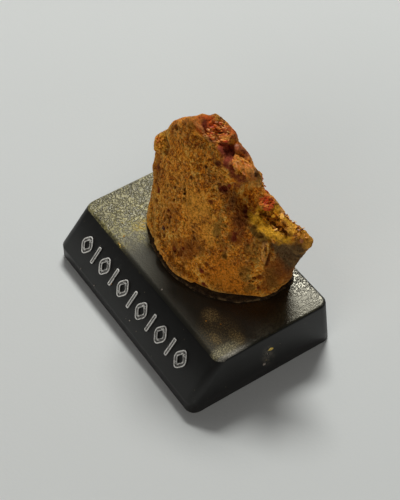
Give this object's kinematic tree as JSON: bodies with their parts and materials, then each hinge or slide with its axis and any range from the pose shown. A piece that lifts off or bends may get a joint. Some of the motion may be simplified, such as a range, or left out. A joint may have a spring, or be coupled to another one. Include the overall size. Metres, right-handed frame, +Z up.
{
  "type": "mineral specimen on a stand",
  "caption": "Broken piece of orange-brown realgar with yellow orpiment, bedded in glue on a small black moulded stand with a sloping label face.",
  "frame": {"origin": "middle of the stand's underside, on the surface it stands on", "axes": "+X along the label face, from its left end to its right end; +Y from the label face to the back; +Z up"},
  "size_m": [0.05, 0.032, 0.0404],
  "materials": {
    "stand_plastic": "smooth semi-gloss black sides and label face, finely grained top, dusty",
    "dark_glue": "glossy dark brown set glue with a dusty rim",
    "realgar_orpiment": "matt granular ochre with dark red specks, crimson and yellow crystals on the broken ridge"
  },
  "bodies": {
    "root": {"stand": "stand_plastic", "glue": "dark_glue", "stone": "realgar_orpiment"}
  },
  "joints": []
}
